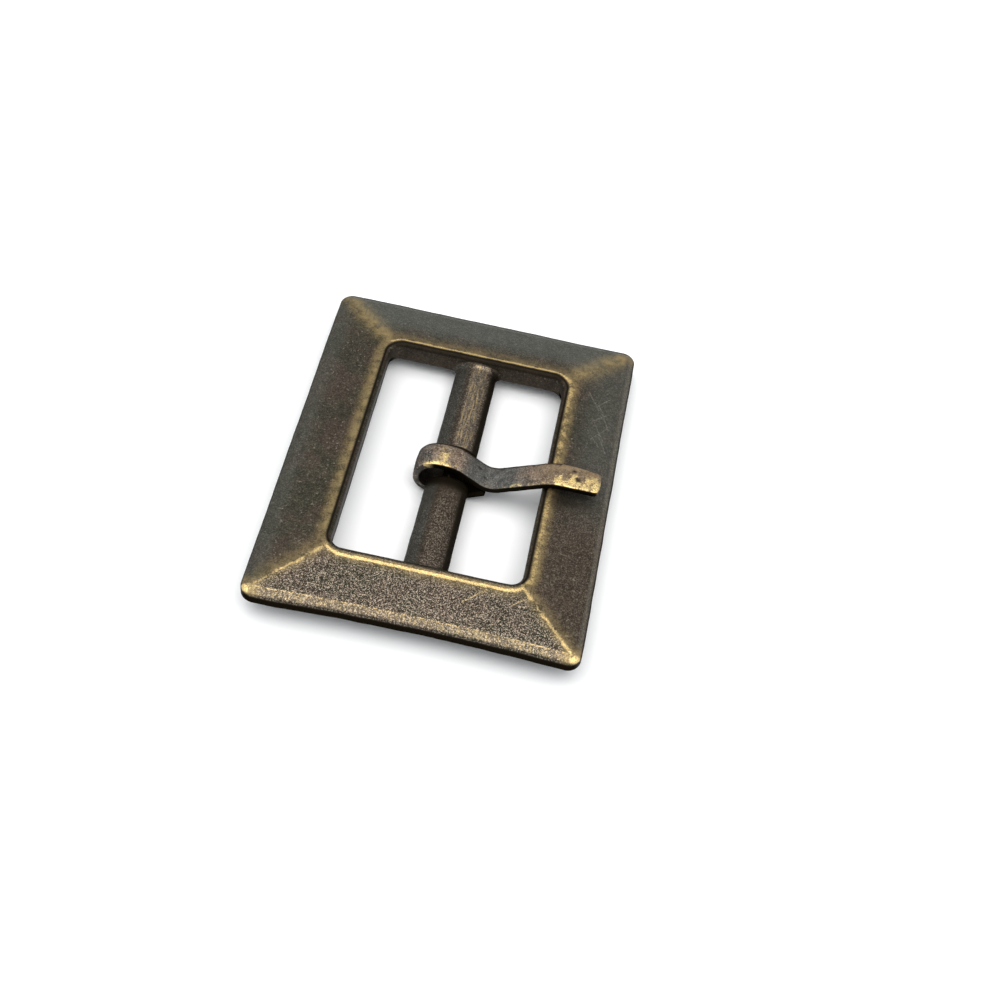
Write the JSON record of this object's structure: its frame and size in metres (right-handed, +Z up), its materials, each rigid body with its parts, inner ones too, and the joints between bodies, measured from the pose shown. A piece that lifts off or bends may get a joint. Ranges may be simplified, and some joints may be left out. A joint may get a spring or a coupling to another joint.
{
  "type": "center bar buckle",
  "caption": "Rectangular center bar buckle: a bevelled metal frame cast with its middle bar, and a bent strip prong that turns on the bar.",
  "frame": {"origin": "on the surface that the buckle lies on, under the centre of the frame's outline; the loop's underside touches it and the frame's back is 1.2 mm above it", "axes": "+X across the bar towards the prong's tip, +Y along the bar, +Z up out of the bevelled front"},
  "size_m": [0.024, 0.031, 0.0039],
  "materials": {
    "frame_metal": "antique brass plating on a cast surface, dark patina, rubbed bright along the crest, mitres and corners",
    "prong_metal": "antique brass plating on bent steel strip, worn to bright metal on the loop's top and at the tip"
  },
  "bodies": {
    "frame": {"frame": "frame_metal"},
    "prong": {"prong": "prong_metal"}
  },
  "joints": [
    {"name": "prong_hinge", "type": "hinge", "parent": "frame", "child": "prong", "pos_m": [0, -0.00025, 0.0018], "axis": [0, -1, 0], "range_deg": [-2, 155]}
  ]
}
